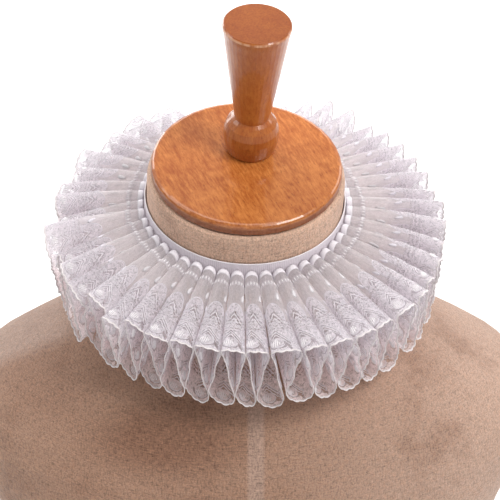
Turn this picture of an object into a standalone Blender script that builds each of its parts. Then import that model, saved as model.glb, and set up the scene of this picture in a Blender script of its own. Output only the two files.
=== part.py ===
"""A lace ruff collar on a half-body tabletop dress form, all solids at real size.

Row frame: metres, +Z up, the wearer faces -Y, origin at the centre of the form's flat underside.
The neck leans forward, and the cap on it leans a little to +X. The collar is a ribbed neck band
with one long strip of lace sewn round it in organ pleats: the strip runs over a crest, down a wall,
round a trough and up the next wall, so it makes tubes above and below.
"""

import math

import bpy
import numpy as np
from mathutils import Matrix

MM = 0.001

# Where the neck cap sits, and how the neck and the cap lean
CAP_HEIGHT = 540.0 * MM
NECK_LEAN = math.radians(12.0)
CAP_ROLL = math.radians(2.5)
SEAT_GAP = 0.3 * MM

# Neck cap and finial, turned in wood
CAP_RADIUS = 59.0 * MM
CAP_THICKNESS = 7.5 * MM
CAP_EDGE_ROUND = 3.0 * MM
TURNED_SEGMENTS = 40
FINIAL_CENTRE = (2.0 * MM, 13.3 * MM)
FINIAL_PROFILE = (  # radius, height above the cap, in mm
    (14.6, 0.3),
    (15.6, 2.6),
    (16.7, 7.5),
    (17.3, 12.5),
    (17.0, 17.0),
    (15.4, 21.2),
    (12.9, 24.4),
    (11.0, 26.2),
    (11.9, 33.0),
    (13.9, 47.0),
    (16.6, 66.0),
    (19.9, 89.5),
    (20.6, 93.0),
    (20.5, 94.2),
    (19.7, 95.0),
)

# Neck band: ribbed elastic sewn into a ring
BAND_TOP = -27.0 * MM
BAND_WIDTH = 25.0 * MM
BAND_INNER_RADIUS = 62.1 * MM
BAND_THICKNESS = 1.0 * MM
BAND_SEGMENTS = 96

# Lace strip: organ pleats from the band to the rim
PLEATS = 48
LACE_THICKNESS = 1.0 * MM
FIRST_CREST = math.radians(3.75)
# Where the points of a pleat stand, with its crest at 0 and its trough at 0.5
STATIONS = (0.0, 0.075, 0.14, 0.20, 0.30, 0.36, 0.425, 0.5, 0.575, 0.64, 0.70, 0.80, 0.86, 0.925)
# Rows of the strip from the sewn edge to the rim. Columns: share of the strip's width,
# fullness of a fold, sharpness of a crest, sharpness of a trough
SECTIONS = (
    (0.00, 0.22, 0.90, 0.95),
    (0.18, 0.23, 0.85, 0.90),
    (0.58, 0.26, 0.72, 0.84),
    (1.00, 0.28, 0.55, 0.78),
)
# Radius and height from the cap's centre, in mm
SEWN_CREST = (63.5, -31.5)
SEWN_TROUGH = (66.5, -64.0)
RIM_CREST = (122.0, -41.5)
RIM_TROUGH = (118.0, -93.5)
CREST_CROWN = 1.2 * MM
SIDE_SPREAD = 2.5 * MM

# How the rim's crests change round the neck: square in front, sharp and slack on the sharp side
FRONT_FLATNESS = 0.18
SHARP_SIDE = math.radians(40.0)
EXTRA_SHARPNESS = 0.75
LOST_FULLNESS = 0.17
LEAN_OF_PLEATS = 0.22
EXTRA_LEAN = 0.30

# The dip of the rim behind the neck: azimuth and half width in degrees, drop and pull inwards in mm
BACK_DIP = (92.0, 20.0, 11.0, 8.0)

# Unevenness round the rim, as waves. Columns: waves in a turn, phase in degrees,
# crest height, trough height and reach in mm, sideways shift as a share of a pleat
UNEVEN = (
    (1, 130.0, 0.0, 0.0, 3.0, 0.00),
    (3, 210.0, 0.0, 1.0, 3.0, 0.00),
    (5, 40.0, 0.7, 1.2, 0.6, 0.04),
    (11, 115.0, 0.8, 1.3, 0.8, 0.06),
    (19, 70.0, 0.8, 1.8, 0.8, 0.06),
)

# The form's rings from its underside to the neck, each square to the neck's line there.
# Columns: distance below the cap in mm, share of the neck's lean, half width, depth in front,
# depth behind in mm, squareness
FORM_RINGS = (
    (540.0, 0.00, 144.0, 96.0, 90.0, 2.30),
    (536.0, 0.00, 147.0, 99.0, 93.0, 2.30),
    (500.0, 0.00, 140.0, 94.0, 89.0, 2.25),
    (465.0, 0.00, 131.0, 88.0, 84.0, 2.20),
    (420.0, 0.00, 134.0, 92.0, 88.0, 2.20),
    (360.0, 0.00, 144.0, 105.0, 96.0, 2.25),
    (300.0, 0.00, 155.0, 117.0, 104.0, 2.30),
    (260.0, 0.00, 163.0, 119.0, 108.0, 2.30),
    (225.0, 0.00, 174.0, 113.0, 110.0, 2.35),
    (200.0, 0.00, 184.0, 107.5, 109.0, 2.40),
    (179.0, 0.00, 190.0, 101.5, 106.5, 2.40),
    (163.0, 0.00, 188.0, 95.5, 104.5, 2.30),
    (151.0, 0.00, 178.0, 90.0, 102.5, 2.20),
    (141.0, 0.00, 163.0, 84.5, 100.0, 2.10),
    (132.5, 0.05, 145.0, 79.0, 96.5, 2.05),
    (124.5, 0.13, 126.0, 74.0, 92.0, 2.00),
    (116.5, 0.25, 106.5, 69.5, 86.0, 2.00),
    (108.5, 0.40, 89.5, 65.8, 79.0, 2.00),
    (100.5, 0.60, 76.0, 63.3, 72.0, 2.00),
    (91.0, 0.84, 66.5, 62.1, 66.0, 2.00),
    (80.0, 1.00, 62.6, 61.8, 62.4, 2.00),
    (68.0, 1.00, 61.9, 61.8, 61.9, 2.00),
    (40.0, 1.00, 61.7, 61.7, 61.7, 2.00),
    (12.0, 1.00, 61.4, 61.4, 61.4, 2.00),
    (9.0, 1.00, 60.8, 60.8, 60.8, 2.00),
    (7.8, 1.00, 59.3, 59.3, 59.3, 2.00),
)
FORM_SEGMENTS = 56


def clear_scene():
    for thing in list(bpy.data.objects):
        bpy.data.objects.remove(thing)


def material(name, colour, roughness, sheen=0.0):
    made = bpy.data.materials.new(name)
    made.use_nodes = True
    shader = made.node_tree.nodes["Principled BSDF"]
    shader.inputs["Base Color"].default_value = (*colour, 1.0)
    shader.inputs["Roughness"].default_value = roughness
    shader.inputs["Metallic"].default_value = 0.0
    shader.inputs["Sheen Weight"].default_value = sheen
    return made


def neck_frame(share=1.0, roll=CAP_ROLL):
    """The frame at the cap's centre, turned by a share of the neck's lean and of the cap's roll."""
    return (
        Matrix.Translation((0.0, 0.0, CAP_HEIGHT))
        @ Matrix.Rotation(share * NECK_LEAN, 4, "X")
        @ Matrix.Rotation(share * roll, 4, "Y")
    )


def placed(points, frame):
    """Points of a frame, in an array whose last axis is x, y, z, in the row frame."""
    turn = np.array(frame.to_3x3())
    return np.asarray(points) @ turn.T + np.array(frame.translation)


def add_solid(name, points, faces, finish, sharp_above):
    mesh = bpy.data.meshes.new(name)
    mesh.from_pydata(points.tolist(), [], faces)
    mesh.materials.append(finish)
    mesh.shade_smooth()
    mesh.set_sharp_from_angle(angle=math.radians(sharp_above))
    made = bpy.data.objects.new(name, mesh)
    bpy.context.scene.collection.objects.link(made)
    return made


def bridged(rings, segments, closed=False):
    """Quads between each ring of points and the next, and from the last to the first when closed."""
    faces = []
    for ring in range(rings if closed else rings - 1):
        here, there = ring * segments, (ring + 1) % rings * segments
        for k in range(segments):
            after = (k + 1) % segments
            faces.append((here + k, here + after, there + after, there + k))
    return faces


def capped(rings, segments):
    """A stack of rings, listed from the bottom up, with both ends closed."""
    bottom = tuple(reversed(range(segments)))
    top = tuple(range((rings - 1) * segments, rings * segments))
    return bridged(rings, segments) + [bottom, top]


def circle(radius, height, segments):
    angles = np.linspace(0.0, 2.0 * math.pi, segments, endpoint=False)
    return np.stack(
        [radius * np.cos(angles), radius * np.sin(angles), np.full(segments, height)], axis=1
    )


def oval(half_width, front, behind, squareness, height, segments):
    """A superellipse whose front and back halves have their own depths."""
    angles = np.linspace(0.0, 2.0 * math.pi, segments, endpoint=False)
    across, along = np.cos(angles), np.sin(angles)
    depth = np.where(along > 0.0, behind, front)
    x = half_width * np.sign(across) * np.abs(across) ** (2.0 / squareness)
    y = depth * np.sign(along) * np.abs(along) ** (2.0 / squareness)
    return np.stack([x, y, np.full(segments, height)], axis=1)


def turned(name, profile, centre, finish):
    """A turned solid on the cap's frame, from rows of radius and height listed from the bottom up."""
    rings = [circle(radius, height, TURNED_SEGMENTS) for radius, height in profile]
    points = np.concatenate(rings) + np.array([*centre, 0.0])
    faces = capped(len(profile), TURNED_SEGMENTS)
    return add_solid(name, placed(points, neck_frame()), faces, finish, 35.0)


def cap_profile():
    """A flat underside, a short straight edge, a quarter-round shoulder and the flat top."""
    quarter = np.linspace(0.0, 0.5 * math.pi, 5)
    radii = CAP_RADIUS - CAP_EDGE_ROUND * (1.0 - np.cos(quarter))
    heights = CAP_EDGE_ROUND * (np.sin(quarter) - 1.0)
    foot = (
        (CAP_RADIUS - 1.0 * MM, -CAP_THICKNESS),
        (CAP_RADIUS, -CAP_THICKNESS + 1.0 * MM),
    )
    return list(foot) + list(zip(radii, heights))


def dress_form(finish):
    """The linen-covered torso and neck in one smooth body, lofted through FORM_RINGS."""
    rings = []
    for below, share, half_width, front, behind, squareness in FORM_RINGS:
        ring = oval(
            half_width * MM, front * MM, behind * MM, squareness, -below * MM, FORM_SEGMENTS
        )
        rings.append(placed(ring, neck_frame(share)))
    faces = capped(len(rings), FORM_SEGMENTS)
    return add_solid("dress_form", np.concatenate(rings), faces, finish, 60.0)


def neck_band(finish):
    """The elastic as a ring: a thin rectangle carried round the neck."""
    inner, outer = BAND_INNER_RADIUS, BAND_INNER_RADIUS + BAND_THICKNESS
    foot = BAND_TOP - BAND_WIDTH
    corners = ((inner, foot), (outer, foot), (outer, BAND_TOP), (inner, BAND_TOP))
    rings = [circle(radius, height, BAND_SEGMENTS) for radius, height in corners]
    points = placed(np.concatenate(rings), neck_frame())
    faces = bridged(len(corners), BAND_SEGMENTS, closed=True)
    return add_solid("neck_band", points, faces, finish, 35.0)


def waves(azimuth):
    """UNEVEN summed at an azimuth: crest height, trough height, reach and sideways shift."""
    total = np.zeros((4, len(azimuth)))
    for count, phase, crest, trough, reach, shift in UNEVEN:
        wave = np.sin(count * azimuth + math.radians(phase))
        total += np.outer((crest * MM, trough * MM, reach * MM, shift), wave)
    return total


def lace_row(fold, share, fullness, crest_power, trough_power):
    """One row of the strip's middle surface, at a share of its width from the sewn edge.

    fold counts pleats round the neck, with a crest at each whole number and a trough at each half.
    Sideways the strip is at fold + fullness * sin(4 pi fold), so each fold bulges past its walls.
    Its height follows a cosine that is raised to a power, which flattens or sharpens the folds,
    and that runs early and late by turns, which leans every pleat the same way.
    """
    turn = 2.0 * math.pi * fold / PLEATS + FIRST_CREST
    front = np.clip(-np.sin(turn), 0.0, 1.0)
    sharp = np.clip(np.cos(turn - SHARP_SIDE), 0.0, 1.0)
    crest_power = crest_power + share * (EXTRA_SHARPNESS * sharp - FRONT_FLATNESS * front)
    lean = share * (LEAN_OF_PLEATS + EXTRA_LEAN * sharp)
    swing = np.cos(2.0 * math.pi * fold + lean * np.cos(2.0 * math.pi * fold))
    power = np.where(swing > 0.0, crest_power, trough_power)
    rise = 0.5 + 0.5 * np.sign(swing) * np.abs(swing) ** power

    fullness = fullness - share * LOST_FULLNESS * sharp
    across = fold + fullness * np.sin(4.0 * math.pi * fold)
    crest_wave, trough_wave, reach_wave, _ = waves(turn)
    shift_wave = waves(2.0 * math.pi * across / PLEATS + FIRST_CREST)[3]
    azimuth = 2.0 * math.pi * (across + share * shift_wave) / PLEATS + FIRST_CREST
    dip_at, dip_width, drop, pull = BACK_DIP
    dip = np.exp(-(((np.degrees(turn) - dip_at) / dip_width) ** 4))
    spread = reach_wave + SIDE_SPREAD * np.cos(turn) ** 2 - pull * MM * dip

    def between(crest, trough, crest_lift, trough_lift, outwards):
        radius = (trough[0] + (crest[0] - trough[0]) * rise) * MM + outwards
        low, high = trough[1] * MM + trough_lift, crest[1] * MM + crest_lift
        height = low + (high - low) * rise
        return np.stack([radius * np.cos(azimuth), radius * np.sin(azimuth), height], axis=-1)

    sewn = placed(between(SEWN_CREST, SEWN_TROUGH, 0.0, 0.0, 0.0), neck_frame())
    lifts = crest_wave - drop * MM * dip, trough_wave - 0.6 * drop * MM * dip
    rim = placed(between(RIM_CREST, RIM_TROUGH, *lifts, spread), neck_frame(roll=0.0))
    points = sewn + (rim - sewn) * share
    points[:, 2] += CREST_CROWN * 4.0 * share * (1.0 - share) * rise
    return points


def lace_ruff(finish):
    """The pleated strip: a closed grid of its middle surface with a Solidify wall."""
    fold = np.add.outer(np.arange(PLEATS), STATIONS).ravel()
    rows = [lace_row(fold, *section) for section in SECTIONS]
    faces = [tuple(reversed(face)) for face in bridged(len(rows), len(fold))]
    made = add_solid("lace_ruff", np.concatenate(rows), faces, finish, 180.0)
    wall = made.modifiers.new("wall", "SOLIDIFY")
    wall.thickness = LACE_THICKNESS
    wall.offset = 0.0
    wall.use_even_offset = False
    return made


def main():
    clear_scene()
    wood = material("turned_wood", (0.50, 0.20, 0.07), 0.25)
    linen = material("linen", (0.52, 0.38, 0.27), 0.90, 0.2)
    elastic = material("white_elastic", (0.80, 0.78, 0.84), 0.70)
    lace = material("white_lace", (0.82, 0.79, 0.81), 0.60, 0.3)

    dress_form(linen)
    turned("neck_cap", cap_profile(), (0.0, 0.0), wood)
    finial = [(radius * MM, height * MM) for radius, height in FINIAL_PROFILE]
    turned("finial", finial, FINIAL_CENTRE, wood)
    neck_band(elastic)
    lace_ruff(lace)


main()
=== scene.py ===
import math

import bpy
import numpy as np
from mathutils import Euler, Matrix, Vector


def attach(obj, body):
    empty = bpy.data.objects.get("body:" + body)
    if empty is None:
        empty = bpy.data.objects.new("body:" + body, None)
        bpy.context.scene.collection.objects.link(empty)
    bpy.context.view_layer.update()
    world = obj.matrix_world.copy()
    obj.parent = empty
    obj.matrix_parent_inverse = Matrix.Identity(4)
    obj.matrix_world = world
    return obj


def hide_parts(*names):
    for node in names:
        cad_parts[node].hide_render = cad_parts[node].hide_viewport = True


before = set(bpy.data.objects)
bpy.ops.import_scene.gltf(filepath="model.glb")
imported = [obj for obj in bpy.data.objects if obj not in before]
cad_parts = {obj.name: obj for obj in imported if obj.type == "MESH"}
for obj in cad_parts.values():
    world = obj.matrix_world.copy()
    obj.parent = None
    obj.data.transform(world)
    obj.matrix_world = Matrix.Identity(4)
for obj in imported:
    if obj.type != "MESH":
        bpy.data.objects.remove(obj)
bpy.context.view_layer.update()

# The looks of a lace ruff collar on a half-body dress form. Metres, +Z up, the wearer faces -Y.
#
# The collar is one long strip of sheer net, 60 mm wide. It is embroidered towards its scalloped
# outer edge and sewn round a ribbed neck band in 48 organ pleats. Every thread on it is placed by
# two numbers: how far it is along the strip, counted in pleats, and how far in from the outer edge.
# strip_point turns these into a point of the pleated cloth, so a motif keeps its size on every fold.

MM = 0.001
TURN = 2.0 * math.pi

# ---------------------------------------------------------------------------------------------
# Sizes of the collar: those of its solids, with slightly fuller folds
# ---------------------------------------------------------------------------------------------

CAP_HEIGHT = 540.0 * MM
NECK_LEAN = math.radians(12.0)
CAP_ROLL = math.radians(2.5)

BAND_TOP = -27.0 * MM
BAND_WIDTH = 25.0 * MM
BAND_INNER_RADIUS = 62.1 * MM
BAND_THICKNESS = 1.0 * MM

PLEATS = 48
FIRST_CREST = math.radians(3.75)
# The strip's cross-folds, by share of its width from the sewn edge: fullness, crest and trough power
SECTION_SHARES = (0.00, 0.18, 0.58, 1.00)
FULLNESS = (0.31, 0.345, 0.352, 0.348)
CREST_POWER = (0.90, 0.85, 0.72, 0.55)
TROUGH_POWER = (0.95, 0.90, 0.84, 0.78)
# Radius and height from the cap's centre, in mm
SEWN_CREST = (63.5, -31.5)
SEWN_TROUGH = (66.5, -64.0)
RIM_CREST = (122.0, -41.5)
RIM_TROUGH = (118.0, -93.5)
CREST_CROWN = 1.2 * MM
SIDE_SPREAD = 2.5 * MM
FRONT_FLATNESS = 0.18
SHARP_SIDE = math.radians(40.0)
EXTRA_SHARPNESS = 0.75
LOST_FULLNESS = 0.17
LEAN_OF_PLEATS = 0.22
EXTRA_LEAN = 0.30
# Azimuth and half width in degrees, drop and pull inwards in mm
BACK_DIP = (92.0, 20.0, 11.0, 8.0)
# Waves in a turn, phase in degrees, crest, trough and reach in mm, shift as a share of a pleat
UNEVEN = (
    (1, 130.0, 0.0, 0.0, 3.0, 0.00),
    (3, 210.0, 0.0, 1.0, 3.0, 0.00),
    (5, 40.0, 0.7, 1.2, 0.6, 0.04),
    (11, 115.0, 0.8, 1.3, 0.8, 0.06),
    (19, 70.0, 0.8, 1.8, 0.8, 0.06),
)

# The wearer's right side, where the folds lie looser than in the solids: its middle, and the waves in
# a turn and size of the lean, the lift and reach in mm, and the shift as a share of a pleat
LOOSE_SIDE = math.radians(170.0)
LOOSE_LEAN = (17, 0.50)
LOOSE_LIFT = (23, 4.2)
LOOSE_REACH = (19, 3.4)
LOOSE_SHIFT = (13, 0.12)

# The collar's shadow on the form, painted on as a brown ball: its middle, and how its distance is squeezed
COLLAR_SHADOW_MIDDLE = (-0.050, -0.086, 0.391)
COLLAR_SHADOW_SQUEEZE = (0.45, 1.0, 1.0)

# The strip as it comes off the reel
BAND_RIBS = 330
STRIP_WIDTH = 60.0 * MM
STRIP_LENGTH = 5.57
MOTIFS_IN_PLEAT = 6
MOTIFS = PLEATS * MOTIFS_IN_PLEAT
# Lines of one motif that both the threads and the net's pattern follow, in mm across and inwards
PETAL_MIDDLE = (-1.4, 6.8)
TENT_MIDDLE, TENT_SLOPE = -1.2, 1.0
ARCH_MIDDLE, ARCH_HALF_WIDTH = (0.5, 21.0), 6.3
POINT_MIDDLE, POINT_SLOPE = 0.3, 1.55
LADDER_INWARDS = 50.0
# Waves in a turn, start in radians, slip in pleats
DRIFT = ((2, 1.0, 0.030), (5, 4.0, 0.016), (17, 2.0, 0.005))
UV_UNIT = 20.0 * MM


# ---------------------------------------------------------------------------------------------
# The pleated strip as a surface
# ---------------------------------------------------------------------------------------------


def neck_frame(share=1.0, roll=CAP_ROLL):
    """The frame at the cap's centre, turned by a share of the neck's lean and by the cap's roll."""
    return (
        Matrix.Translation((0.0, 0.0, CAP_HEIGHT))
        @ Matrix.Rotation(share * NECK_LEAN, 4, "X")
        @ Matrix.Rotation(share * roll, 4, "Y")
    )


def placed(points, place):
    """Points of a frame, in an array whose last axis is x, y, z, moved to the row frame."""
    turn = np.array(place.to_3x3())
    return np.asarray(points) @ turn.T + np.array(place.translation)


def uneven(azimuth, column):
    """One column of UNEVEN, summed as sine waves at an azimuth."""
    return sum(row[column] * np.sin(row[0] * azimuth + math.radians(row[1])) for row in UNEVEN)


def loosened(azimuth, looseness):
    """A sine wave that is strongest at the middle of the loose side and 0 on the other half."""
    waves, size = looseness
    return size * np.clip(np.cos(azimuth - LOOSE_SIDE), 0.0, 1.0) * np.sin(waves * azimuth + 1.0)


def lace_surface(fold, share):
    """Points of the pleated strip for arrays of fold and share, which have one shape.

    fold counts pleats round the neck, with a crest at each whole number and a trough at each half.
    share runs from 0 at the sewn edge to 1 at the rim. Height follows a cosine of the fold raised to
    a power, and the azimuth swings by fullness * sin(4 pi fold), which makes the folds bulge past
    their walls. Each point lies on the straight line from the sewn edge to the rim, crests a little
    above it.
    """
    turn = TURN * fold / PLEATS + FIRST_CREST
    front = np.clip(-np.sin(turn), 0.0, 1.0)
    sharp = np.clip(np.cos(turn - SHARP_SIDE), 0.0, 1.0)
    crest_power = np.interp(share, SECTION_SHARES, CREST_POWER)
    crest_power = crest_power + share * (EXTRA_SHARPNESS * sharp - FRONT_FLATNESS * front)
    trough_power = np.interp(share, SECTION_SHARES, TROUGH_POWER)
    lean = share * (LEAN_OF_PLEATS + EXTRA_LEAN * sharp + loosened(turn, LOOSE_LEAN))
    swing = np.cos(TURN * fold + lean * np.cos(TURN * fold))
    power = np.where(swing > 0.0, crest_power, trough_power)
    rise = 0.5 + 0.5 * np.sign(swing) * np.abs(swing) ** power

    fullness = np.interp(share, SECTION_SHARES, FULLNESS) - share * LOST_FULLNESS * sharp
    across = fold + fullness * np.sin(2.0 * TURN * fold)
    even_azimuth = TURN * across / PLEATS + FIRST_CREST
    shift = uneven(even_azimuth, 5) + loosened(even_azimuth, LOOSE_SHIFT)
    azimuth = TURN * (across + share * shift) / PLEATS + FIRST_CREST
    dip_at, dip_width, drop, pull = BACK_DIP
    dip = np.exp(-(((np.degrees(turn) - dip_at) / dip_width) ** 4))
    spread = (uneven(turn, 4) + loosened(turn, LOOSE_REACH)) * MM
    spread = spread + SIDE_SPREAD * np.cos(turn) ** 2 - pull * MM * dip

    def between(crest, trough, crest_lift, trough_lift, outwards):
        radius = (trough[0] + (crest[0] - trough[0]) * rise) * MM + outwards
        low, high = trough[1] * MM + trough_lift, crest[1] * MM + crest_lift
        height = low + (high - low) * rise
        return np.stack([radius * np.cos(azimuth), radius * np.sin(azimuth), height], axis=-1)

    sewn = placed(between(SEWN_CREST, SEWN_TROUGH, 0.0, 0.0, 0.0), neck_frame())
    crest_lift = (uneven(turn, 2) + loosened(turn, LOOSE_LIFT)) * MM - drop * MM * dip
    trough_lift = uneven(turn, 3) * MM - 0.6 * drop * MM * dip
    rim = placed(between(RIM_CREST, RIM_TROUGH, crest_lift, trough_lift, spread), neck_frame(roll=0.0))
    points = sewn + (rim - sewn) * share[..., None]
    points[..., 2] += CREST_CROWN * 4.0 * share * (1.0 - share) * rise
    return points


def fold_at(clock):
    """Folds for a clock that runs slowly on the walls, where the cloth climbs fastest.

    In each half pleat the distance from the wall's middle is the square of the clock's.
    """
    half = np.floor(clock * 2.0)
    swing = 4.0 * clock - 2.0 * half - 1.0
    return 0.5 * half + 0.25 + 0.25 * np.sign(swing) * swing**2


CLOCK_STEPS = 64
CLOCK_ROWS = 25


def measured_strip():
    """How far the clock is ahead of the cloth's true length, and the cloth in a pleat at each share.

    At each of CLOCK_ROWS shares the cloth is walked once round the neck. Every pleat's walk is then
    scaled to 1, so whole numbers stay on the crests, and the walk is turned round to give the clock.
    """
    clock = np.arange(PLEATS * CLOCK_STEPS + 1) / CLOCK_STEPS
    ahead, path = [], []
    for share in np.linspace(0.0, 1.0, CLOCK_ROWS):
        points = lace_surface(fold_at(clock), np.full(clock.shape, share))
        steps = np.linalg.norm(np.diff(points, axis=0), axis=1)
        walked = np.append(0.0, np.cumsum(steps))
        along = np.interp(walked, walked[::CLOCK_STEPS], np.arange(PLEATS + 1))
        ahead.append(np.interp(clock, along, clock) - clock)
        path.append(walked[-1] / PLEATS)
    return np.array(ahead), np.array(path)


CLOCK_AHEAD, PLEAT_PATH = measured_strip()


def pleat_path(inwards):
    """Length of cloth in one pleat, at a distance in from the outer edge."""
    return np.interp(1.0 - inwards / STRIP_WIDTH, np.linspace(0.0, 1.0, CLOCK_ROWS), PLEAT_PATH)


def strip_point(along, inwards):
    """The point of the pleated cloth at a place along the strip, in pleats, and in from its edge.

    The embroidery slips against the pleats by DRIFT, a sum of sine waves round the neck. The clock
    comes from CLOCK_AHEAD, mixed between the four entries round the place.
    """
    along, inwards = np.broadcast_arrays(along, inwards)
    turn = TURN * along / PLEATS
    along = along + sum(slip * np.sin(waves * turn + start) for waves, start, slip in DRIFT)
    share = 1.0 - inwards / STRIP_WIDTH
    row = np.clip(share, 0.0, 1.0) * (CLOCK_ROWS - 1)
    column = (along % PLEATS) * CLOCK_STEPS
    above = np.minimum(row.astype(int), CLOCK_ROWS - 2)
    before = np.minimum(column.astype(int), PLEATS * CLOCK_STEPS - 1)
    down, on = row - above, column - before
    ahead = (CLOCK_AHEAD[above, before] * (1.0 - on) + CLOCK_AHEAD[above, before + 1] * on) * (1.0 - down)
    ahead = ahead + (
        CLOCK_AHEAD[above + 1, before] * (1.0 - on) + CLOCK_AHEAD[above + 1, before + 1] * on
    ) * down
    return lace_surface(fold_at(along % PLEATS + ahead), share)


def unit(vectors):
    return vectors / np.linalg.norm(vectors, axis=-1, keepdims=True)


def strip_normal(along, inwards):
    """The cloth's unit normal, up on a crest: the slope along the strip crossed with the slope inwards."""
    step, reach = 0.012, 0.4 * MM
    slope_along = strip_point(along + step, inwards) - strip_point(along - step, inwards)
    slope_in = strip_point(along, inwards + reach) - strip_point(along, inwards - reach)
    return unit(np.cross(slope_along, slope_in))


# ---------------------------------------------------------------------------------------------
# Making pieces
# ---------------------------------------------------------------------------------------------


def add_piece(name, points, faces, finish, smooth=True):
    """A mesh piece at the origin that rides on the form, with its finish."""
    mesh = bpy.data.meshes.new(name)
    mesh.from_pydata(points.reshape(-1, 3).tolist(), [], faces)
    mesh.materials.append(finish)
    if smooth:
        mesh.shade_smooth()
    piece = bpy.data.objects.new(name, mesh)
    bpy.context.scene.collection.objects.link(piece)
    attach(piece, "root")
    return piece


def grid_faces(rows, columns, closed_rows=False, closed_columns=True):
    """Quads of a grid of points. A face points to where its columns crossed with its rows point."""
    row = np.arange(rows if closed_rows else rows - 1)[:, None]
    column = np.arange(columns if closed_columns else columns - 1)[None, :]
    below, after = (row + 1) % rows, (column + 1) % columns
    corners = [row * columns + column, row * columns + after, below * columns + after, below * columns + column]
    return np.stack(corners, axis=-1).reshape(-1, 4)


def spindle_faces(count, rings, sides):
    """Faces of many closed forms alike: a first point, rings of points, and a last point."""
    size = rings * sides + 2
    ring = np.arange(rings - 1)[:, None] * sides + 1
    side = np.arange(sides)[None, :]
    after = (side + 1) % sides
    quads = np.stack([ring + side, ring + sides + side, ring + sides + after, ring + after], axis=-1)
    side, after, end = side[0], after[0], 1 + (rings - 1) * sides
    first = np.stack([np.zeros_like(side), 1 + side, 1 + after], axis=-1)
    last = np.stack([end + side, np.full_like(side, size - 1), end + after], axis=-1)
    start = (np.arange(count) * size)[:, None, None]
    faces = []
    for kind in (quads.reshape(-1, 4), np.concatenate([first, last])):
        faces += (kind[None] + start).reshape(-1, kind.shape[-1]).tolist()
    return faces


def cord_along_strip(name, inwards, half_width, half_thickness, steps, sides, finish):
    """A flat cord sewn along the whole strip: an ellipse carried along it and closed on itself.

    inwards and half_width are functions of the place along the strip. The ellipse lies across the
    cloth, so its width follows the cloth and its thickness the cloth's normal.
    """
    along = np.arange(PLEATS * steps) / steps
    centre, width = inwards(along), half_width(along)
    angle = TURN * np.arange(sides)[:, None] / sides
    points = strip_point(along[None, :], centre - width * np.cos(angle))
    normal = strip_normal(along, centre)
    points = points + normal[None] * (half_thickness * np.sin(angle))[..., None]
    faces = grid_faces(sides, len(along), closed_rows=True).tolist()
    return add_piece(name, points, faces, finish)


def motif_places():
    """Places along the strip of all motifs, in pleats. One sits on each crest and each trough."""
    return np.arange(MOTIFS) / MOTIFS_IN_PLEAT


def satin_patches(name, centre, half_size, tilt, lift, taper, finish):
    """One raised patch of satin stitch in each motif, as a closed lens on both sides of the net.

    centre and half_size are across and in, in mm. A point stands at centre plus a share of the
    turned ellipse, at 0, 0.62 and 1 of its size, and lift falls from the middle to the rim. taper
    narrows the inner end of the ellipse, for leaves and drops.
    """
    sides = 8
    angle = TURN * np.arange(sides) / sides
    shares, lifts = np.array([0.62, 1.0, 0.62]), np.array([0.8, 0.0, -0.8])
    x = np.outer(shares, np.cos(angle) * (1.0 - taper * np.sin(angle))) * half_size[0]
    y = np.outer(shares, np.sin(angle)) * half_size[1]
    x, y = x * math.cos(tilt) - y * math.sin(tilt), x * math.sin(tilt) + y * math.cos(tilt)
    x = np.concatenate([[0.0], x.ravel(), [0.0]]) + centre[0]
    y = np.concatenate([[0.0], y.ravel(), [0.0]]) + centre[1]
    raised = np.concatenate([[1.0], np.repeat(lifts, sides), [-1.0]]) * lift * MM

    inwards = np.broadcast_to(y * MM, (MOTIFS, len(y)))
    along = motif_places()[:, None] + x * MM / pleat_path(inwards)
    points = strip_point(along, inwards) + strip_normal(along, inwards) * raised[None, :, None]
    return add_piece(name, points, spindle_faces(MOTIFS, 3, sides), finish)


def laid_threads(name, lines, half_width, half_thickness, sides, finish, places=None):
    """Couched threads that follow lines on the cloth, each a closed tube that tapers to its ends.

    lines has the shape (lines in a motif, points, 2), in mm across and in from the motif's middle.
    The section is an ellipse: its width lies along the line's tangent crossed with the normal.
    """
    places = motif_places() if places is None else places
    lines = np.asarray(lines) * MM
    inwards = np.broadcast_to(lines[None, ..., 1], (len(places), *lines.shape[:2]))
    along = places[:, None, None] + lines[None, ..., 0] / pleat_path(inwards)
    inwards, along = (a.reshape(-1, lines.shape[1]) for a in (inwards, along))
    middle, normal = strip_point(along, inwards), strip_normal(along, inwards)
    tangent = unit(np.gradient(middle, axis=1))
    beside = unit(np.cross(tangent, normal))

    rings = lines.shape[1] - 2
    share = np.arange(1, rings + 1) / (rings + 1)
    swell = (0.55 + 0.45 * np.sin(math.pi * share))[None, :, None, None] * MM
    angle = TURN * np.arange(sides) / sides
    ring = middle[:, 1:-1, None] + swell * (
        beside[:, 1:-1, None] * (half_width * np.cos(angle))[:, None]
        + normal[:, 1:-1, None] * (half_thickness * np.sin(angle))[:, None]
    )
    body = ring.reshape(len(along), rings * sides, 3)
    points = np.concatenate([middle[:, :1], body, middle[:, -1:]], axis=1)
    return add_piece(name, points, spindle_faces(len(along), rings, sides), finish)


# ---------------------------------------------------------------------------------------------
# Finishes
# ---------------------------------------------------------------------------------------------


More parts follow.
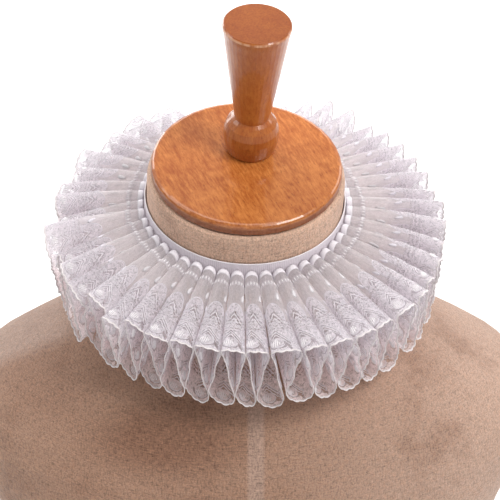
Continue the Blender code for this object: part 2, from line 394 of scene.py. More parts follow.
class Finish:
    """A material in the making. Each method adds one node and gives back the socket it comes out of."""

    def __init__(self, name, constants):
        self.material = bpy.data.materials.new(name)
        self.material.use_nodes = True
        self.tree = self.material.node_tree
        self.shader = self.tree.nodes["Principled BSDF"]
        for socket, value in constants.items():
            self.shader.inputs[socket].default_value = value

    def feed(self, socket, value):
        if isinstance(value, bpy.types.NodeSocket):
            self.tree.links.new(value, socket)
        else:
            socket.default_value = value

    def node(self, kind, inputs, output=0, **settings):
        made = self.tree.nodes.new(kind)
        for setting, value in settings.items():
            setattr(made, setting, value)
        for socket, value in inputs.items():
            self.feed(made.inputs[socket], value)
        return made.outputs[output]

    def calc(self, operation, *values):
        return self.node("ShaderNodeMath", dict(enumerate(values)), operation=operation)

    def step(self, value, low, high):
        """0 below low, 1 above high, and a smooth ramp between."""
        inputs = {"Value": value, "From Min": low, "From Max": high}
        return self.node("ShaderNodeMapRange", inputs, interpolation_type="SMOOTHSTEP")

    def fade(self, value, low, high):
        """1 below low, 0 above high, and a smooth ramp between."""
        return self.calc("SUBTRACT", 1.0, self.step(value, low, high))

    def between(self, value, low, high, soft):
        """1 from low to high, falling to 0 over a soft edge."""
        rising = self.step(value, low - soft, low + soft)
        return self.calc("MULTIPLY", rising, self.fade(value, high - soft, high + soft))

    def both(self, *masks):
        """Masks multiplied together."""
        result = masks[0]
        for mask in masks[1:]:
            result = self.calc("MULTIPLY", result, mask)
        return result

    def either(self, *masks):
        """The strongest of several masks."""
        result = masks[0]
        for mask in masks[1:]:
            result = self.calc("MAXIMUM", result, mask)
        return result

    def scaled(self, value, low, high):
        """A value from 0 to 1 turned into one from low to high."""
        inputs = {"Value": value, "To Min": low, "To Max": high}
        return self.node("ShaderNodeMapRange", inputs)

    def mix(self, share, first, second):
        """A colour between two colours."""
        inputs = {0: share, 6: first, 7: second}
        return self.node("ShaderNodeMix", inputs, output=2, data_type="RGBA")

    def tinted(self, colour, factor):
        """A colour made lighter or darker by a factor."""
        inputs = {0: 1.0, 6: colour, 7: factor}
        return self.node("ShaderNodeMix", inputs, output=2, data_type="RGBA", blend_type="MULTIPLY")

    def place(self):
        return self.node("ShaderNodeTexCoord", {}, output=3)

    def parts(self, vector):
        """The x, y and z of a vector."""
        return tuple(self.node("ShaderNodeSeparateXYZ", {0: vector}).node.outputs)

    def uv(self, name):
        return self.node("ShaderNodeUVMap", {}, uv_map=name)

    def mapped(self, vector, scale=(1.0, 1.0, 1.0), turn=(0.0, 0.0, 0.0), shift=(0.0, 0.0, 0.0)):
        inputs = {"Vector": vector, "Scale": scale, "Rotation": turn, "Location": shift}
        return self.node("ShaderNodeMapping", inputs)

    def noise(self, vector, scale, detail=2.0, roughness=0.5):
        inputs = {"Vector": vector, "Scale": scale, "Detail": detail, "Roughness": roughness}
        return self.node("ShaderNodeTexNoise", inputs)

    def thin(self, colour, glow, cover):
        """Cloth that lets light through: a share of glow shines through it, and 1 - cover is open.

        The light that shines through is a little warmer than the colour.
        """
        warmer = self.tinted(colour, (1.07, 1.045, 1.03, 1.0))
        behind = self.node("ShaderNodeBsdfTranslucent", {"Color": warmer})
        lit = self.node("ShaderNodeMixShader", {0: glow, 1: self.shader.outputs[0], 2: behind})
        open_net = self.node("ShaderNodeBsdfTransparent", {})
        shown = self.node("ShaderNodeMixShader", {0: cover, 1: open_net, 2: lit})
        self.feed(self.tree.nodes["Material Output"].inputs["Surface"], shown)

    def bump(self, height, distance, strength=1.0):
        inputs = {"Height": height, "Distance": distance, "Strength": strength}
        self.feed(self.shader.inputs["Normal"], self.node("ShaderNodeBump", inputs))


# The rows of the lattice and the threads of the net, from one to the next, in mm
LATTICE_PERIOD = 2.3
NET_PERIOD = 0.55


def embroidered_net():
    """Sheer net, close-stitched inside each motif's arch, with see-through gaps between the stitches.

    x and y are mm across and in from the edge in one motif. cover says how much of what is behind
    the cloth is hidden: little by the net, most by the ground under the arch, and little again where
    the gaps cut it. The ground's colour has light and dark stitches and winding threads, and low in
    the folds the cloth is painted warmer and lighter, as painted light bounced up from the linen.
    """
    constants = {"Roughness": 0.55, "Sheen Weight": 0.2, "Specular IOR Level": 0.3}
    finish = Finish("embroidered_net", constants)
    flat_x, flat_y, _ = finish.parts(finish.uv("motif"))
    x = finish.calc("MULTIPLY", flat_x, UV_UNIT / MM)
    y = finish.calc("MULTIPLY", flat_y, UV_UNIT / MM)
    strip = finish.uv("strip")

    def strip_noise(scale, *rest, shift=(0.0, 0.0, 0.0)):
        """Noise that lies on the strip: its scale counts knots in 20 mm along it and inwards."""
        return finish.noise(finish.mapped(strip, scale=(*scale, 1.0), shift=shift), 1.0, *rest)

    from_middle = finish.calc("ABSOLUTE", finish.calc("SUBTRACT", x, ARCH_MIDDLE[0]))
    squeezed = finish.calc("POWER", finish.calc("DIVIDE", from_middle, ARCH_HALF_WIDTH), 2.0)
    arch = finish.calc("SQRT", finish.calc("MAXIMUM", finish.calc("SUBTRACT", 1.0, squeezed), 0.0))
    top = finish.calc("MULTIPLY_ADD", arch, 13.0, ARCH_MIDDLE[1])
    ground = finish.fade(finish.calc("SUBTRACT", y, top), -0.4, 0.4)

    # Gaps of the stitching, from the edge inwards: round the petal, under the tent over it, in the
    # lattice and in the pointed arches. The pattern is pulled about by a noise, as real stitches are.
    def pulled(value, seed, reach):
        loose = strip_noise((9.0, 9.0), 1.0, shift=(seed, seed, 0.0))
        return finish.calc("ADD", value, finish.scaled(loose, -reach, reach))

    x, y = pulled(x, 0.0, 1.2), pulled(y, 7.0, 1.2)

    def limbs(middle, slope, left, right):
        """How far in a pair of sloping limbs is at x, and a mask from the left end to the right end."""
        side = finish.calc("ABSOLUTE", finish.calc("SUBTRACT", x, middle))
        return finish.calc("MULTIPLY_ADD", side, slope, y), finish.between(x, left, right, 0.6)

    across = finish.calc("DIVIDE", finish.calc("SUBTRACT", x, PETAL_MIDDLE[0]), 4.6)
    inward = finish.calc("DIVIDE", finish.calc("SUBTRACT", y, PETAL_MIDDLE[1]), 3.4)
    inward_squared = finish.calc("MULTIPLY", inward, inward)
    petal = finish.calc("SQRT", finish.calc("MULTIPLY_ADD", across, across, inward_squared))
    outline = finish.both(finish.between(petal, 0.96, 1.22, 0.07), finish.fade(inward, -0.2, 0.3))
    tent, tent_ends = limbs(TENT_MIDDLE, TENT_SLOPE, -4.6, 6.2)
    beside_petal = finish.both(finish.step(petal, 0.84, 0.98), finish.step(x, -3.2, -2.4))
    hollow = finish.both(finish.between(tent, 9.1, 11.8, 0.4), beside_petal, tent_ends)
    faint_ray = finish.calc("MULTIPLY", finish.between(tent, 14.4, 15.3, 0.3), 0.8)
    rays = finish.both(finish.either(finish.between(tent, 12.4, 13.5, 0.3), faint_ray), tent_ends)
    rows = finish.step(finish.calc("SINE", finish.calc("MULTIPLY", y, TURN / LATTICE_PERIOD)), -0.4, 0.3)
    dashes = strip_noise((19.0, 13.0), 2.0, 0.7)
    lattice = finish.both(rows, finish.step(dashes, 0.46, 0.54), finish.between(y, 14.8, 22.4, 0.6))
    pointed, pointed_ends = limbs(POINT_MIDDLE, POINT_SLOPE, -2.2, 4.8)
    wide_gap = finish.between(pointed, 24.0, 26.0, 0.4)
    arches = finish.either(wide_gap, finish.between(pointed, 27.4, 28.6, 0.35))
    # Contours of a noise make the winding threads of the ground, and those of another its small holes
    wander = strip_noise((6.5, 6.5), 2.0, 0.6)
    loose = strip_noise((8.0, 8.0), 2.0, 0.6, shift=(40.0, 2.0, 0.0))
    winding = finish.between(wander, 0.46, 0.53, 0.02)
    pinholes = finish.between(loose, 0.575, 0.64, 0.02)
    gaps = finish.either(
        finish.calc("MULTIPLY", outline, 0.8), hollow, rays, lattice, finish.both(arches, pointed_ends),
        finish.calc("MULTIPLY", finish.both(ground, pinholes), 0.55),
    )

    # The net's own threads, the gathers that run across the strip, and loose spots
    gathers = strip_noise((10.0, 0.6), 3.0, 0.6)
    weft = finish.calc("SINE", finish.calc("MULTIPLY", y, TURN / NET_PERIOD))
    warp = finish.calc("SINE", finish.calc("MULTIPLY", x, TURN / NET_PERIOD))
    mesh = finish.calc("MULTIPLY", finish.calc("ADD", weft, warp), 0.05)
    sheer = finish.calc("ADD", finish.scaled(gathers, 0.44, 0.72), mesh)
    ladder = finish.between(y, LADDER_INWARDS - 1.6, LADDER_INWARDS + 1.6, 0.2)
    close = finish.either(ground, finish.calc("MULTIPLY", ladder, 0.7))
    thicker = finish.calc("SUBTRACT", 0.88, sheer)
    cover = finish.calc("MULTIPLY_ADD", close, thicker, sheer)
    cut = finish.calc("SUBTRACT", 1.0, finish.calc("MULTIPLY", gaps, 0.72))

    stitches = strip_noise((17.0, 9.0), 3.0, 0.75)
    colour = finish.mix(close, (0.94, 0.91, 0.925, 1.0), (0.765, 0.735, 0.78, 1.0))
    shade = finish.calc("MULTIPLY_ADD", finish.both(ground, winding), 0.2, finish.scaled(stitches, 0.60, 1.24))
    colour = finish.tinted(colour, shade)
    neck_height = finish.parts(neck_place(finish))[2]
    # Painted light: low in the folds the cloth is made warmer and lighter, standing in for light bounced up from
    # the linen
    painted_bounce_low = finish.fade(neck_height, -78.0 * MM, -48.0 * MM)
    colour = finish.mix(painted_bounce_low, colour, finish.tinted(colour, (1.08, 1.0, 0.965, 1.0)))
    finish.feed(finish.shader.inputs["Base Color"], colour)
    height = finish.calc("ADD", finish.calc("MULTIPLY", close, stitches), finish.calc("MULTIPLY", gathers, 1.2))
    finish.bump(height, 0.4 * MM, 0.6)
    finish.thin(colour, finish.scaled(close, 0.70, 0.60), finish.calc("MULTIPLY", cover, cut))
    return finish.material


def thread(name, colour, roughness, shade):
    """Embroidery thread: a fine noise for its strands, in colour and height."""
    finish = Finish(name, {"Roughness": roughness, "Sheen Weight": 0.25, "Specular IOR Level": 0.45})
    strands = finish.noise(finish.place(), 1400.0, 3.0, 0.6)
    clouds = finish.noise(finish.place(), 180.0, 2.0)
    factor = finish.calc("ADD", finish.scaled(strands, shade, 1.06), finish.scaled(clouds, -0.05, 0.05))
    finish.feed(finish.shader.inputs["Base Color"], finish.tinted(colour, factor))
    finish.bump(strands, 0.15 * MM, 0.7)
    return finish.material


def neck_place(finish):
    """The place seen from the neck: its lean and roll turned back, and the cap's centre at zero."""
    turn = (-NECK_LEAN, -CAP_ROLL, 0.0)
    shift = Euler(turn).to_matrix() @ Vector((0.0, 0.0, -CAP_HEIGHT))
    return finish.mapped(finish.place(), turn=turn, shift=tuple(shift))


def ribbed_elastic():
    """White elastic: faint grey between the weft threads, which cross the modelled ribs, and painted shade in the
    grooves between the ribs.
    """
    finish = Finish("ribbed_elastic", {"Roughness": 0.6, "Sheen Weight": 0.2})
    place = finish.place()
    east, north, height = finish.parts(neck_place(finish))
    azimuth = finish.calc("ARCTAN2", north, east)
    rib = finish.calc("COSINE", finish.calc("MULTIPLY", azimuth, float(BAND_RIBS)))
    weft = finish.calc("SINE", finish.calc("MULTIPLY", height, TURN / (0.7 * MM)))
    fluff = finish.noise(place, 900.0, 3.0)
    clouds = finish.noise(place, 60.0, 2.0)
    factor = finish.calc("ADD", finish.scaled(fluff, 0.88, 1.04), finish.scaled(clouds, -0.04, 0.04))
    factor = finish.calc("MULTIPLY_ADD", weft, 0.03, factor)
    # Painted shade: darker in the grooves between the modelled ribs
    factor = finish.calc("MULTIPLY_ADD", rib, -0.09, factor)
    finish.feed(finish.shader.inputs["Base Color"], finish.tinted((0.70, 0.635, 0.69, 1.0), factor))
    finish.bump(finish.calc("ADD", finish.calc("MULTIPLY", weft, 0.5), fluff), 0.12 * MM, 0.8)
    return finish.material


def old_linen():
    """Coarse linen canvas: warp and weft, thick slubs, brown stains and the pale front stripe.

    The threads run round the form and up it: around is the azimuth times the radius, with its seam
    at the centre back, and up is the height less the radius, which also grows towards the neck on
    the shoulders. Below the neck the radius is that of an ellipse, half as wide again as it is deep.
    Each thread is noise drawn out along one of the two. The colour runs from tan to a lighter tone
    towards the right, painted light from the key lamps on that side mixed with random wide stains, and
    is paler on the neck, painted light bounced up from the collar, and painted lighter again at the
    neck's sides. Over it lie stains from a noise, a painted shade band under the collar and a painted
    sheen patch on the left, the collar's painted shadow as a soft ball, dark threads and the stripe.
    """
    finish = Finish("old_linen", {"Roughness": 0.92, "Sheen Weight": 0.15, "Specular IOR Level": 0.2})
    place = finish.place()
    east, north, height = finish.parts(place)
    depth = finish.calc("MULTIPLY", north, finish.scaled(finish.step(height, 0.43, 0.47), 1.5, 1.0))
    depth_squared = finish.calc("MULTIPLY", depth, depth)
    radius = finish.calc("SQRT", finish.calc("MULTIPLY_ADD", east, east, depth_squared))
    azimuth = finish.calc("ARCTAN2", east, finish.calc("MULTIPLY", depth, -1.0))
    around, up = finish.calc("MULTIPLY", azimuth, radius), finish.calc("SUBTRACT", height, radius)
    spread = finish.node("ShaderNodeCombineXYZ", {0: around, 1: up})
    weft_place = finish.mapped(spread, scale=(190.0, 820.0, 1.0))
    warp_place = finish.mapped(spread, scale=(820.0, 190.0, 1.0), shift=(5.0, 3.0, 0.0))
    weft, warp = (finish.noise(on_thread, 1.0, 3.0, 0.7) for on_thread in (weft_place, warp_place))
    weave = finish.calc("ADD", finish.step(weft, 0.3, 0.7), finish.step(warp, 0.3, 0.7))
    dark_threads = finish.either(finish.step(weft, 0.50, 0.62), finish.step(warp, 0.50, 0.62))
    grain = finish.noise(place, 1000.0, 3.0, 0.7)
    stains = finish.noise(place, 16.0, 6.0, 0.68)
    wide_stains = finish.noise(place, 4.5, 3.0, 0.5)

    neck_lit_tone, right_lit_tone = (0.67, 0.45, 0.336, 1.0), (0.525, 0.362, 0.282, 1.0)
    tan, brown = (0.385, 0.234, 0.163, 1.0), (0.19, 0.09, 0.055, 1.0)
    dark_thread, sheen_tone, striped = (0.24, 0.125, 0.075, 1.0), (0.62, 0.50, 0.44, 1.0), (0.60, 0.50, 0.45, 1.0)
    # Painted light: lighter towards the right, where the key lamps fall, mixed with random wide stains
    right_light_and_stains = finish.calc("ADD", finish.step(east, -0.02, 0.16), finish.scaled(wide_stains, -0.5, 0.5))
    colour = finish.mix(right_light_and_stains, tan, right_lit_tone)
    # Painted light: the neck is paler, standing in for light bounced up from the collar, and lighter again at its
    # sides
    neck_side_light = finish.scaled(finish.step(finish.calc("ABSOLUTE", east), 0.01, 0.055), 0.96, 1.09)
    colour = finish.mix(finish.step(height, 0.452, 0.47), colour, finish.tinted(neck_lit_tone, neck_side_light))
    colour = finish.mix(finish.calc("MULTIPLY", finish.step(stains, 0.48, 0.70), 0.5), colour, brown)
    towards_left = finish.fade(east, -0.13, -0.08)
    # Painted shade: a brown band just under the collar on the left, where its shadow falls
    painted_collar_shade = finish.both(towards_left, finish.between(height, 0.392, 0.412, 0.010))
    colour = finish.mix(finish.calc("MULTIPLY", painted_collar_shade, 0.27), colour, brown)
    # Painted sheen: a paler patch on the left side, from the shoulder back
    painted_shoulder_sheen = finish.both(towards_left, finish.step(north, -0.025, -0.005))
    colour = finish.mix(finish.calc("MULTIPLY", painted_shoulder_sheen, 0.4), colour, sheen_tone)
    # Painted shadow: the collar's soft shadow on the chest, as a brown ball that fades out from its middle
    shift = tuple(-squeeze * middle for squeeze, middle in zip(COLLAR_SHADOW_SQUEEZE, COLLAR_SHADOW_MIDDLE))
    out_of_collar_shadow = finish.mapped(place, scale=COLLAR_SHADOW_SQUEEZE, shift=shift)
    from_collar_shadow = finish.node("ShaderNodeVectorMath", {0: out_of_collar_shadow}, output=1, operation="LENGTH")
    colour = finish.mix(finish.calc("MULTIPLY", finish.fade(from_collar_shadow, 0.008, 0.034), 0.74), colour, brown)
    colour = finish.mix(finish.calc("MULTIPLY", dark_threads, 0.5), colour, dark_thread)
    below_collar, in_front = finish.fade(height, 0.44, 0.47), finish.fade(north, -0.02, 0.0)
    stripe = finish.both(finish.between(east, 0.5 * MM, 10.5 * MM, 1.5 * MM), below_collar, in_front)
    colour = finish.mix(finish.calc("MULTIPLY", stripe, 0.20), colour, striped)
    factor = finish.calc("ADD", finish.scaled(grain, -0.15, 1.08), finish.calc("MULTIPLY", weave, 0.50))
    finish.feed(finish.shader.inputs["Base Color"], finish.tinted(colour, factor))
    finish.bump(finish.calc("ADD", weave, grain), 0.35 * MM, 0.7)
    return finish.material


def varnished_wood(name, grain_scale, turn, light, dark):
    """Turned and varnished wood: long fine grain, a cross figure, dark flecks, and a hard gloss.

    grain_scale counts knots in a metre along the grain and across it, and turn lays the grain along
    the first axis. Heights are from the cap's top, on the neck's own axis. The wood carries painted
    light: darker in front, lighter behind, and dark under the cap's rim as painted shade. It is duller
    on the finial's end, whose edge is worn pale.
    """
    constants = {"Roughness": 0.32, "Coat Weight": 0.55, "Coat Roughness": 0.06, "Specular IOR Level": 0.3}
    finish = Finish(name, constants)
    turned = finish.mapped(finish.place(), turn=turn)
    along, across = grain_scale
    fine = finish.noise(finish.mapped(turned, scale=(along, across * 3.0, across * 3.0)), 1.0, 4.0, 0.7)
    broad = finish.noise(finish.mapped(turned, scale=(along * 0.5, across, across)), 1.0, 3.0, 0.6)
    figure = finish.noise(finish.mapped(turned, scale=(160.0, 45.0, 45.0)), 1.0, 3.0, 0.6)
    flecks = finish.noise(finish.mapped(turned, scale=(330.0, 900.0, 900.0)), 1.0, 2.0, 0.5)
    clouds = finish.noise(finish.place(), 14.0, 3.0)

    shade = finish.calc("ADD", finish.scaled(fine, -0.9, 1.1), finish.scaled(broad, -0.45, 0.6))
    shade = finish.calc("ADD", shade, finish.scaled(figure, -0.3, 0.4))
    shade = finish.calc("ADD", shade, finish.scaled(clouds, -0.15, 0.35))
    colour = finish.mix(finish.step(shade, -0.45, 0.95), light, dark)
    fleck = finish.calc("MULTIPLY", finish.step(flecks, 0.60, 0.70), 0.4)
    colour = finish.mix(fleck, colour, (dark[0] * 0.5, dark[1] * 0.45, dark[2] * 0.4, 1.0))
    _, north, height = finish.parts(neck_place(finish))
    # Painted shade and light: darker towards the front and lighter towards the back
    colour = finish.tinted(colour, finish.scaled(finish.step(north, -0.065, 0.045), 0.84, 1.13))
    # Painted shade: dark on the cap's side wall, just under its top edge
    rim = finish.between(height, -8.5 * MM, -2.4 * MM, 1.2 * MM)
    rim_shade_colour = (dark[0] * 0.45, dark[1] * 0.4, dark[2] * 0.4, 1.0)
    colour = finish.mix(finish.calc("MULTIPLY", rim, 0.6), colour, rim_shade_colour)
    on_end = finish.step(height, 94.3 * MM, 94.9 * MM)
    colour = finish.mix(on_end, colour, finish.tinted(colour, (0.77, 0.69, 0.52, 1.0)))
    end_edge = finish.between(height, 93.0 * MM, 94.4 * MM, 0.3 * MM)
    worn = finish.both(end_edge, finish.step(broad, 0.35, 0.6))
    colour = finish.mix(finish.calc("MULTIPLY", worn, 0.4), colour, (0.80, 0.50, 0.30, 1.0))
    finish.feed(finish.shader.inputs["Base Color"], colour)
    finish.bump(finish.calc("ADD", fine, finish.calc("MULTIPLY", flecks, -0.5)), 0.05 * MM, 0.3)
    return finish.material


# ---------------------------------------------------------------------------------------------
# The collar
# ---------------------------------------------------------------------------------------------

SHEET_STEPS = 22
SHEET_ROWS = 13


def scallop(along):
    """How far the outer edge is cut back: one wave in each motif, and four small lobes on it."""
    motif = along * MOTIFS_IN_PLEAT
    wave = 0.5 - 0.5 * np.cos(TURN * motif)
    lobes = 1.0 - np.abs(np.cos(0.5 * TURN * 4.0 * motif))
    return (0.9 * wave + 0.75 * lobes) * MM


def edge_half_width(along):
    return 0.60 * MM - 0.1 * scallop(along)


def edge_middle(along):
    return scallop(along) + edge_half_width(along)


def lace_cloth(finish):
    """The net as one sheet: rows from the edge cord to the sewn edge, columns along the strip.

    Its map "motif" runs from -half to +half across each motif, and in from the edge. Its map "strip"
    runs on along the whole strip.
    """
    steps = MOTIFS_IN_PLEAT * SHEET_STEPS
    column = np.arange(PLEATS * steps + 1)
    along = (column / SHEET_STEPS - 0.5) / MOTIFS_IN_PLEAT
    share = np.linspace(0.0, 1.0, SHEET_ROWS)[:, None]
    outer = edge_middle(along)[None, :]
    inwards = outer + (STRIP_WIDTH - outer) * share
    points = strip_point(along[None, :-1], inwards[:, :-1])
    faces = grid_faces(SHEET_ROWS, PLEATS * steps)
    piece = add_piece("lace_cloth", points, faces.tolist(), finish)

    row = np.arange(SHEET_ROWS - 1)[:, None, None]
    left = np.arange(PLEATS * steps)[None, :, None]
    corner_row = row + np.array([0, 0, 1, 1])
    corner_column = left + np.array([0, 1, 1, 0])
    corner_in = inwards[corner_row, corner_column]
    in_motif = (left % SHEET_STEPS + np.array([0, 1, 1, 0])) / SHEET_STEPS - 0.5
    in_motif = np.broadcast_to(in_motif, corner_in.shape)
    motif = np.stack([in_motif * pleat_path(corner_in) / MOTIFS_IN_PLEAT, corner_in], axis=-1)
    cloth_in_pleat = STRIP_LENGTH / PLEATS
    on_strip = np.broadcast_to(along[corner_column] * cloth_in_pleat, corner_in.shape)
    strip = np.stack([on_strip, corner_in], axis=-1)
    for name, values in (("motif", motif), ("strip", strip)):
        layer = piece.data.uv_layers.new(name=name)
        layer.data.foreach_set("uv", (values / UV_UNIT).astype(np.float32).ravel())
    return piece


def arc(centre, radii, start, end, points):
    """A line on part of an ellipse, in mm, from one angle to another in degrees."""
    angle = np.radians(np.linspace(start, end, points))
    return np.stack([centre[0] + radii[0] * np.cos(angle), centre[1] + radii[1] * np.sin(angle)], axis=-1)


def satin_rows(centre, radii, slant, count):
    """Parallel stitches that fill an ellipse side by side, each as long as the ellipse is there."""
    across = np.linspace(-0.92, 0.92, count)[:, None]
    along = np.linspace(-1.0, 1.0, 5)[None, :] * np.sqrt(1.0 - across**2)
    x = centre[0] + radii[0] * across + slant * radii[1] * along
    return np.stack([x, centre[1] + radii[1] * along], axis=-1)


def zigzag_line(left, right, height, reach, points):
    """A row of small stitches: the line goes in and out by its reach from point to point."""
    x = np.linspace(left, right, points)
    return np.stack([x, height + reach * (np.arange(points) % 2 - 0.5)], axis=-1)


def pointed_line(middle, left, right, top, slope):
    """Two straight limbs that meet at their highest point inwards, above the middle."""
    third = (right - middle) / 3.0
    x = [left, (left + middle) / 2.0, middle - 0.3, middle + 0.3, middle + third, middle + 2.0 * third, right]
    x = np.array(x)
    return np.stack([x, top - slope * np.abs(x - middle)], axis=-1)


def add_collar():
    net = embroidered_net()
    satin = thread("satin_thread", (0.86, 0.83, 0.85, 1.0), 0.5, 0.78)
    floss = thread("floss_thread", (0.60, 0.575, 0.60, 1.0), 0.6, 0.8)
    lilac = thread("lilac_thread", (0.72, 0.68, 0.74, 1.0), 0.6, 0.7)
    cotton = thread("cotton_thread", (0.77, 0.73, 0.77, 1.0), 0.65, 0.8)
    cream = thread("cream_thread", (0.72, 0.67, 0.675, 1.0), 0.65, 0.75)
    cloth = lace_cloth(net)

    edge = cord_along_strip("scalloped_edge", edge_middle, edge_half_width, 0.30 * MM, 144, 6, cream)
    selvedge = cord_along_strip(
        "sewn_selvedge",
        lambda along: np.full(along.shape, 58.0 * MM),
        lambda along: np.full(along.shape, 1.9 * MM),
        0.32 * MM, 64, 6, cotton,
    )

    petals = laid_threads("satin_petals", satin_rows((-2.4, 6.2), (2.4, 2.9), 0.22, 5), 0.34, 0.44, 4, satin)
    leaves = satin_patches("side_leaves", (-6.5, 29.0), (1.0, 2.7), math.radians(12.0), 0.35, 0.3, lilac)
    drops = satin_patches("tear_drops", (5.4, 39.4), (1.25, 3.5), math.radians(-8.0), 0.35, 0.35, floss)

    curves = laid_threads(
        "petal_cords",
        [arc(PETAL_MIDDLE, (4.4, 3.2), 200.0, 360.0, 11), arc((3.2, 6.6), (3.4, 2.2), -60.0, 80.0, 11)],
        0.24, 0.26, 4, lilac,
    )
    tents = laid_threads(
        "tent_stitches",
        [pointed_line(TENT_MIDDLE, left, right, top, TENT_SLOPE)
         for left, right, top in ((-4.8, 5.6, 12.0), (-5.4, 6.6, 13.8), (-5.6, 7.2, 15.5))],
        0.24, 0.26, 4, cotton,
    )
    zigzags = laid_threads(
        "zigzag_stitches",
        [zigzag_line(-6.4, 6.4, height, 0.75, 13) for height in (16.9, 18.8, 20.7)],
        0.2, 0.24, 3, cotton,
    )
    scales = laid_threads(
        "scale_arcs",
        [arc((-3.6, 21.2), (3.2, 2.0), 15.0, 165.0, 7), arc((3.6, 21.2), (3.2, 2.0), 15.0, 165.0, 7)],
        0.22, 0.26, 4, lilac,
    )
    arches = laid_threads(
        "motif_arches", [arc(ARCH_MIDDLE, (ARCH_HALF_WIDTH, 13.2), 4.0, 176.0, 13)], 0.24, 0.26, 4, lilac
    )
    points = laid_threads(
        "pointed_stitches",
        [pointed_line(POINT_MIDDLE, left, right, top, POINT_SLOPE)
         for left, right, top in ((-2.6, 4.8, 26.5), (-1.6, 3.2, 23.6))],
        0.26, 0.28, 4, cotton,
    )
    bars_in_pleat = 42
    bar_places = np.arange(PLEATS * bars_in_pleat) / bars_in_pleat
    bar = [(0.0, LADDER_INWARDS + beyond) for beyond in (-1.8, 0.0, 1.8)]
    ladder = laid_threads("ladder_bars", [bar], 0.5, 0.42, 4, satin, places=bar_places)

    band = neck_band()
    hem = band_top_edge(cotton)
    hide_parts("lace_ruff")
    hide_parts("neck_band")


def round_neck(radius, azimuth, height):
    """Points that stand round the neck, from arrays of radius, azimuth and height along its axis."""
    ring = np.broadcast_arrays(radius * np.cos(azimuth), radius * np.sin(azimuth), height)
    return placed(np.stack(ring, axis=-1), neck_frame())


def neck_band():
    """The elastic: a rounded upright strip carried round the neck, with a rib every 1.2 mm.

    Its section is a superellipse of power 5. Each rib lifts the outer face by a raised cosine.
    """
    columns, rows = BAND_RIBS * 4, 14
    azimuth = TURN * np.arange(columns)[None, :] / columns
    angle = TURN * np.arange(rows)[:, None] / rows
    rib = 0.5 - 0.5 * np.cos(BAND_RIBS * azimuth)

    def rounded(value):
        return np.sign(value) * np.abs(value) ** 0.4

    outwards = rounded(np.cos(angle))
    radius = BAND_INNER_RADIUS + 0.5 * BAND_THICKNESS + 0.42 * MM * outwards
    radius = radius + 0.24 * MM * (rib - 0.7) * np.clip(outwards, 0.0, 1.0)
    height = BAND_TOP - 0.5 * BAND_WIDTH + 0.5 * BAND_WIDTH * rounded(np.sin(angle))
    faces = grid_faces(rows, columns, closed_rows=True).tolist()
    return add_piece("ribbed_band", round_neck(radius, azimuth, height), faces, ribbed_elastic())


def band_top_edge(finish):
    """The band's woven top edge: a thin round cord carried round the neck."""
    columns, rows = 240, 6
    azimuth = TURN * np.arange(columns)[None, :] / columns
    angle = TURN * np.arange(rows)[:, None] / rows
    radius = BAND_INNER_RADIUS + 0.55 * MM + 0.45 * MM * np.cos(angle)
    height = BAND_TOP - 0.3 * MM + 0.45 * MM * np.sin(angle)
    faces = grid_faces(rows, columns, closed_rows=True).tolist()
    return add_piece("band_top_edge", round_neck(radius, azimuth, height), faces, finish)


# ---------------------------------------------------------------------------------------------
# What the collar stands on
# ---------------------------------------------------------------------------------------------


def refinish(node, finish):
    """Gives a carried-over solid its finish, in every material slot that it has."""
    for slot in bpy.data.objects[node].material_slots:
        slot.material = finish


def finish_form():
    """Linen for the form, and wood for the cap and the finial, whose grain runs up it."""
    refinish("dress_form", old_linen())
    light, deep, dark = (0.55, 0.200, 0.050, 1.0), (0.40, 0.128, 0.024, 1.0), (0.28, 0.064, 0.009, 1.0)
    lying, upright = (0.0, 0.0, math.radians(66.0)), (0.0, math.radians(90.0), 0.0)
    refinish("neck_cap", varnished_wood("varnished_cap", (24.0, 240.0), lying, light, dark))
    refinish("finial", varnished_wood("varnished_finial", (24.0, 260.0), upright, deep, dark))


# ---------------------------------------------------------------------------------------------
# Studio
# ---------------------------------------------------------------------------------------------


# The photograph's view, fitted to the outlines of the cap, the finial and the ruff's rim
CAMERA_PLACE = (0.00184, -0.94180, 1.06222)
CAMERA_TILT = math.radians(58.1)
FOCAL_LENGTH, SENSOR_WIDTH = 126.0, 36.0
FLOOR_REACH = 8.0


def add_floor():
    """A wide, plain, pale floor under the form."""
    finish = Finish("pale_floor", {"Roughness": 0.9, "Specular IOR Level": 0.1})
    speckle = finish.noise(finish.place(), 3.0, 2.0)
    colour = finish.tinted((0.86, 0.86, 0.86, 1.0), finish.scaled(speckle, 0.995, 1.0))
    finish.feed(finish.shader.inputs["Base Color"], colour)
    mesh = bpy.data.meshes.new("studio_floor")
    ways = ((-1.0, -1.0), (1.0, -1.0), (1.0, 1.0), (-1.0, 1.0))
    corners = [(FLOOR_REACH * east, FLOOR_REACH * north, 0.0) for east, north in ways]
    mesh.from_pydata(corners, [], [(0, 1, 2, 3)])
    mesh.materials.append(finish.material)
    floor = bpy.data.objects.new("studio_floor", mesh)
    bpy.context.scene.collection.objects.link(floor)


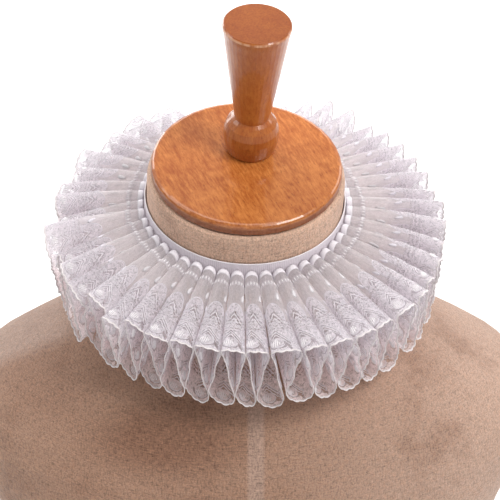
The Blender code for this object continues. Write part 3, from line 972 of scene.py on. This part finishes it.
def add_light(name, place, aim, size, power, colour=(1.0, 1.0, 1.0)):
    """A soft rectangular lamp at a place, turned to face an aim."""
    lamp = bpy.data.lights.new(name, "AREA")
    lamp.shape = "RECTANGLE"
    lamp.size, lamp.size_y = size
    lamp.energy = power
    lamp.color = colour
    light = bpy.data.objects.new(name, lamp)
    facing = Matrix.Identity(4)
    towards = np.array(aim) - np.array(place)
    towards = towards / np.linalg.norm(towards)
    side = np.cross(towards, (0.0, 0.0, 1.0))
    side = side / np.linalg.norm(side)
    up = np.cross(side, towards)
    for row in range(3):
        facing[row][0], facing[row][1], facing[row][2] = side[row], up[row], -towards[row]
        facing[row][3] = place[row]
    light.matrix_world = facing
    bpy.context.scene.collection.objects.link(light)


def add_camera():
    """The photograph's view: 32 degrees above, straight from the front, through a long lens."""
    lens = bpy.data.cameras.new("view")
    lens.lens, lens.sensor_width = FOCAL_LENGTH, SENSOR_WIDTH
    lens.clip_start, lens.clip_end = 0.05, 50.0
    camera = bpy.data.objects.new("view", lens)
    camera.location = CAMERA_PLACE
    camera.rotation_euler = (CAMERA_TILT, 0.0, 0.0)
    bpy.context.scene.collection.objects.link(camera)
    bpy.context.scene.camera = camera


def add_studio():
    scene = bpy.context.scene
    scene.view_settings.view_transform = "Standard"
    scene.cycles.transparent_max_bounces = 40
    world = bpy.data.worlds.new("studio")
    world.use_nodes = True
    background = world.node_tree.nodes["Background"]
    background.inputs["Color"].default_value = (1.0, 1.0, 1.0, 1.0)
    background.inputs["Strength"].default_value = 0.42
    scene.world = world
    add_floor()
    aim = (0.0, 0.0, 0.45)
    add_light("upper_key_softbox", (1.08, -0.74, 2.32), aim, (1.0, 0.36), 18.5, (1.0, 0.98, 0.96))
    add_light("lower_key_softbox", (1.22, -0.84, 1.92), aim, (1.0, 0.36), 18.5, (1.0, 0.98, 0.96))
    add_light("top_softbox", (-0.3, 0.25, 2.4), aim, (1.3, 1.0), 12.0)
    add_light("front_softbox", (-0.4, -2.2, 0.75), aim, (1.6, 0.8), 4.8, (1.0, 0.96, 0.92))
    add_light("left_softbox", (-1.5, 0.1, 1.7), aim, (1.0, 1.0), 10.0)
    add_light("right_softbox", (1.5, 1.0, 1.6), aim, (1.0, 1.0), 11.0)
    add_light("back_softbox", (-1.3, 1.7, 1.2), aim, (1.2, 1.0), 20.0)
    add_light("floor_softbox", (0.0, 2.5, 1.9), (0.0, 2.51, 0.0), (3.2, 1.4), 62.0)


finish_form()
add_collar()
add_studio()
add_camera()
